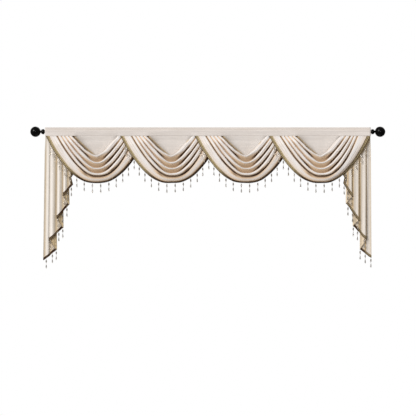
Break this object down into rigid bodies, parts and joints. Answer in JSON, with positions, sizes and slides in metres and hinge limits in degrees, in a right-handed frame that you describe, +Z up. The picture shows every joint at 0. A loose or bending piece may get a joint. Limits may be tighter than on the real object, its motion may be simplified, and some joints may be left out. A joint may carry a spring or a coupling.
{
  "type": "swag and tail drape on a curtain rod",
  "caption": "Swag and tail valance hung on its own ball-ended rod: rod pocket heading, overlapping pleated swags, cascade tails, gimp braid and hanging beads.",
  "frame": {"origin": "on the axis of the rod, at the middle of its length", "axes": "+X along the rod to the viewer's right, -Y out to the front of the drape, +Z up"},
  "size_m": [2.724, 0.1209, 1.0803],
  "materials": {
    "black_metal": "gloss",
    "greige_cloth": "matt",
    "cream_satin": "satin",
    "gold_braid": "corded",
    "crystal_bead": "polished"
  },
  "bodies": {
    "root": {"rod": "black_metal", "collar_left": "black_metal", "collar_right": "black_metal", "finial_left": "black_metal", "finial_right": "black_metal", "heading": "greige_cloth", "back_panel": "greige_cloth", "swag_1": "cream_satin", "swag_2": "cream_satin", "swag_3": "cream_satin", "swag_4": "cream_satin", "tail_left": "cream_satin", "tail_right": "cream_satin", "swag_trim_1": "gold_braid", "swag_trim_2": "gold_braid", "swag_trim_3": "gold_braid", "swag_trim_4": "gold_braid", "tail_trim_left": "gold_braid", "tail_trim_right": "gold_braid"}
  },
  "joints": []
}
